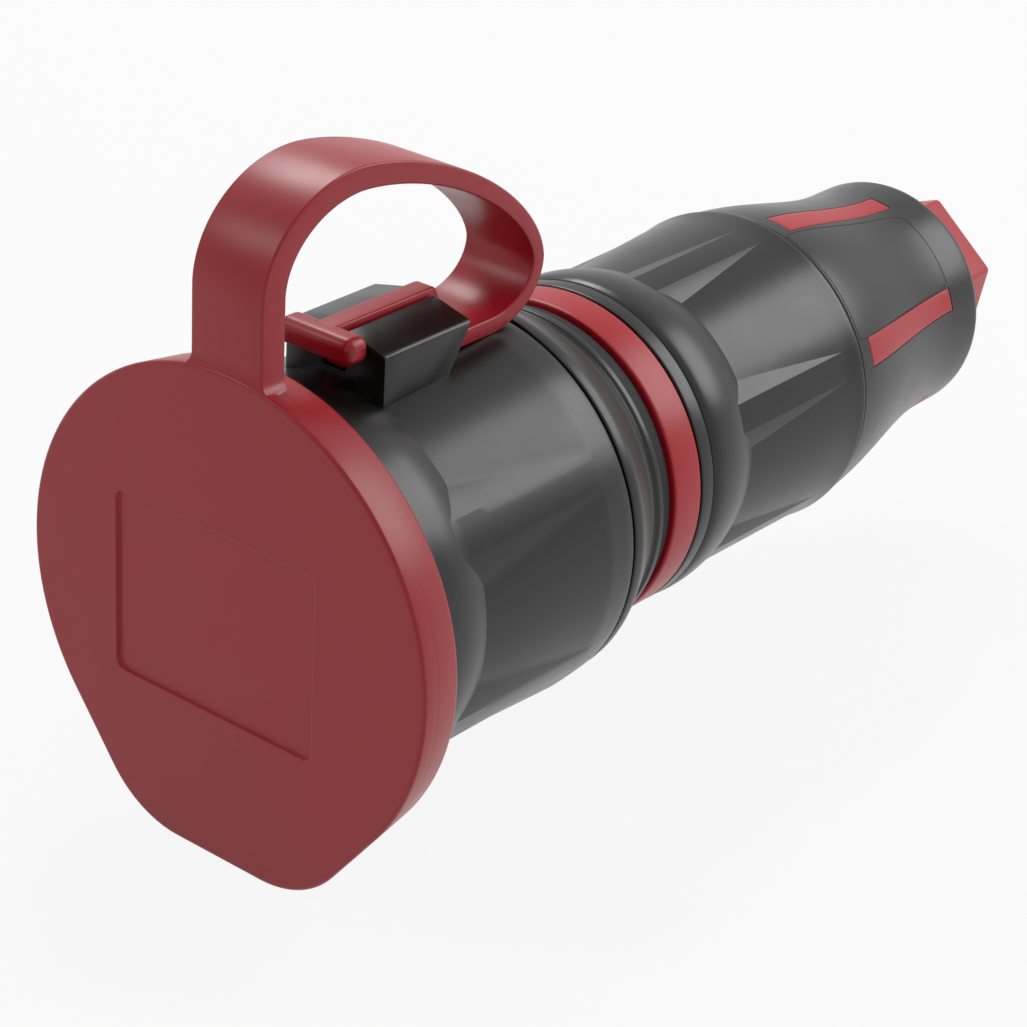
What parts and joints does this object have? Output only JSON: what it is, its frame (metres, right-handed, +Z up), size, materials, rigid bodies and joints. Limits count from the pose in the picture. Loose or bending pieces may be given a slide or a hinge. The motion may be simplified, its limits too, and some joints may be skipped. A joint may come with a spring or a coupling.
{
  "type": "schuko cable socket",
  "caption": "Earthed cable socket in black and red with a sealing cap on a moulded strap, ribbed grip housings and a hexagonal gland nut.",
  "frame": {"origin": "on the long axis, in the floor of the shallow panel sunk into the flat face of the cap", "axes": "+Y runs along the axis from the cap to the gland nut, +Z points up through the strap, +X points to the viewer's right of the cap face"},
  "size_m": [0.062, 0.1503, 0.0854],
  "materials": {
    "red_moulding": "satin",
    "black_housing": "satin",
    "grey_rings": "satin",
    "red_plastic": "satin",
    "pale_plastic": "matte",
    "seal_rubber": "matte",
    "brass_contacts": "bright",
    "steel_screws": "bright"
  },
  "bodies": {
    "root": {"front_housing": "black_housing", "rear_housing": "black_housing", "contact_carrier": "black_housing", "carrier_cover": "grey_rings", "front_collar": "grey_rings", "threaded_sleeve": "grey_rings", "seal_ring": "seal_rubber", "cable_seal": "seal_rubber", "locking_ring": "red_plastic", "gland_nut": "red_plastic", "grip_inlay_1": "red_plastic", "grip_inlay_2": "red_plastic", "grip_inlay_3": "red_plastic", "grip_inlay_4": "red_plastic", "grip_inlay_5": "red_plastic", "grip_inlay_6": "red_plastic", "clamp_cage": "pale_plastic", "earth_bracket": "brass_contacts", "line_contact_left": "brass_contacts", "line_contact_right": "brass_contacts", "terminal_left": "brass_contacts", "terminal_right": "brass_contacts", "terminal_earth": "brass_contacts", "terminal_screw_left": "steel_screws", "terminal_screw_right": "steel_screws", "terminal_screw_earth": "steel_screws", "carrier_screw_left": "steel_screws", "carrier_screw_right": "steel_screws", "cap_strap": "red_moulding"},
    "cap": {"sealing_cap": "red_moulding"}
  },
  "joints": [
    {"name": "cap_swing", "type": "hinge", "parent": "root", "child": "cap", "pos_m": [0, 0.00814, 0.05101], "axis": [-1, 0, 0], "range_deg": [0, 110], "stiffness_Nm_per_rad": 0.06, "springref_deg": -20.05}
  ]
}
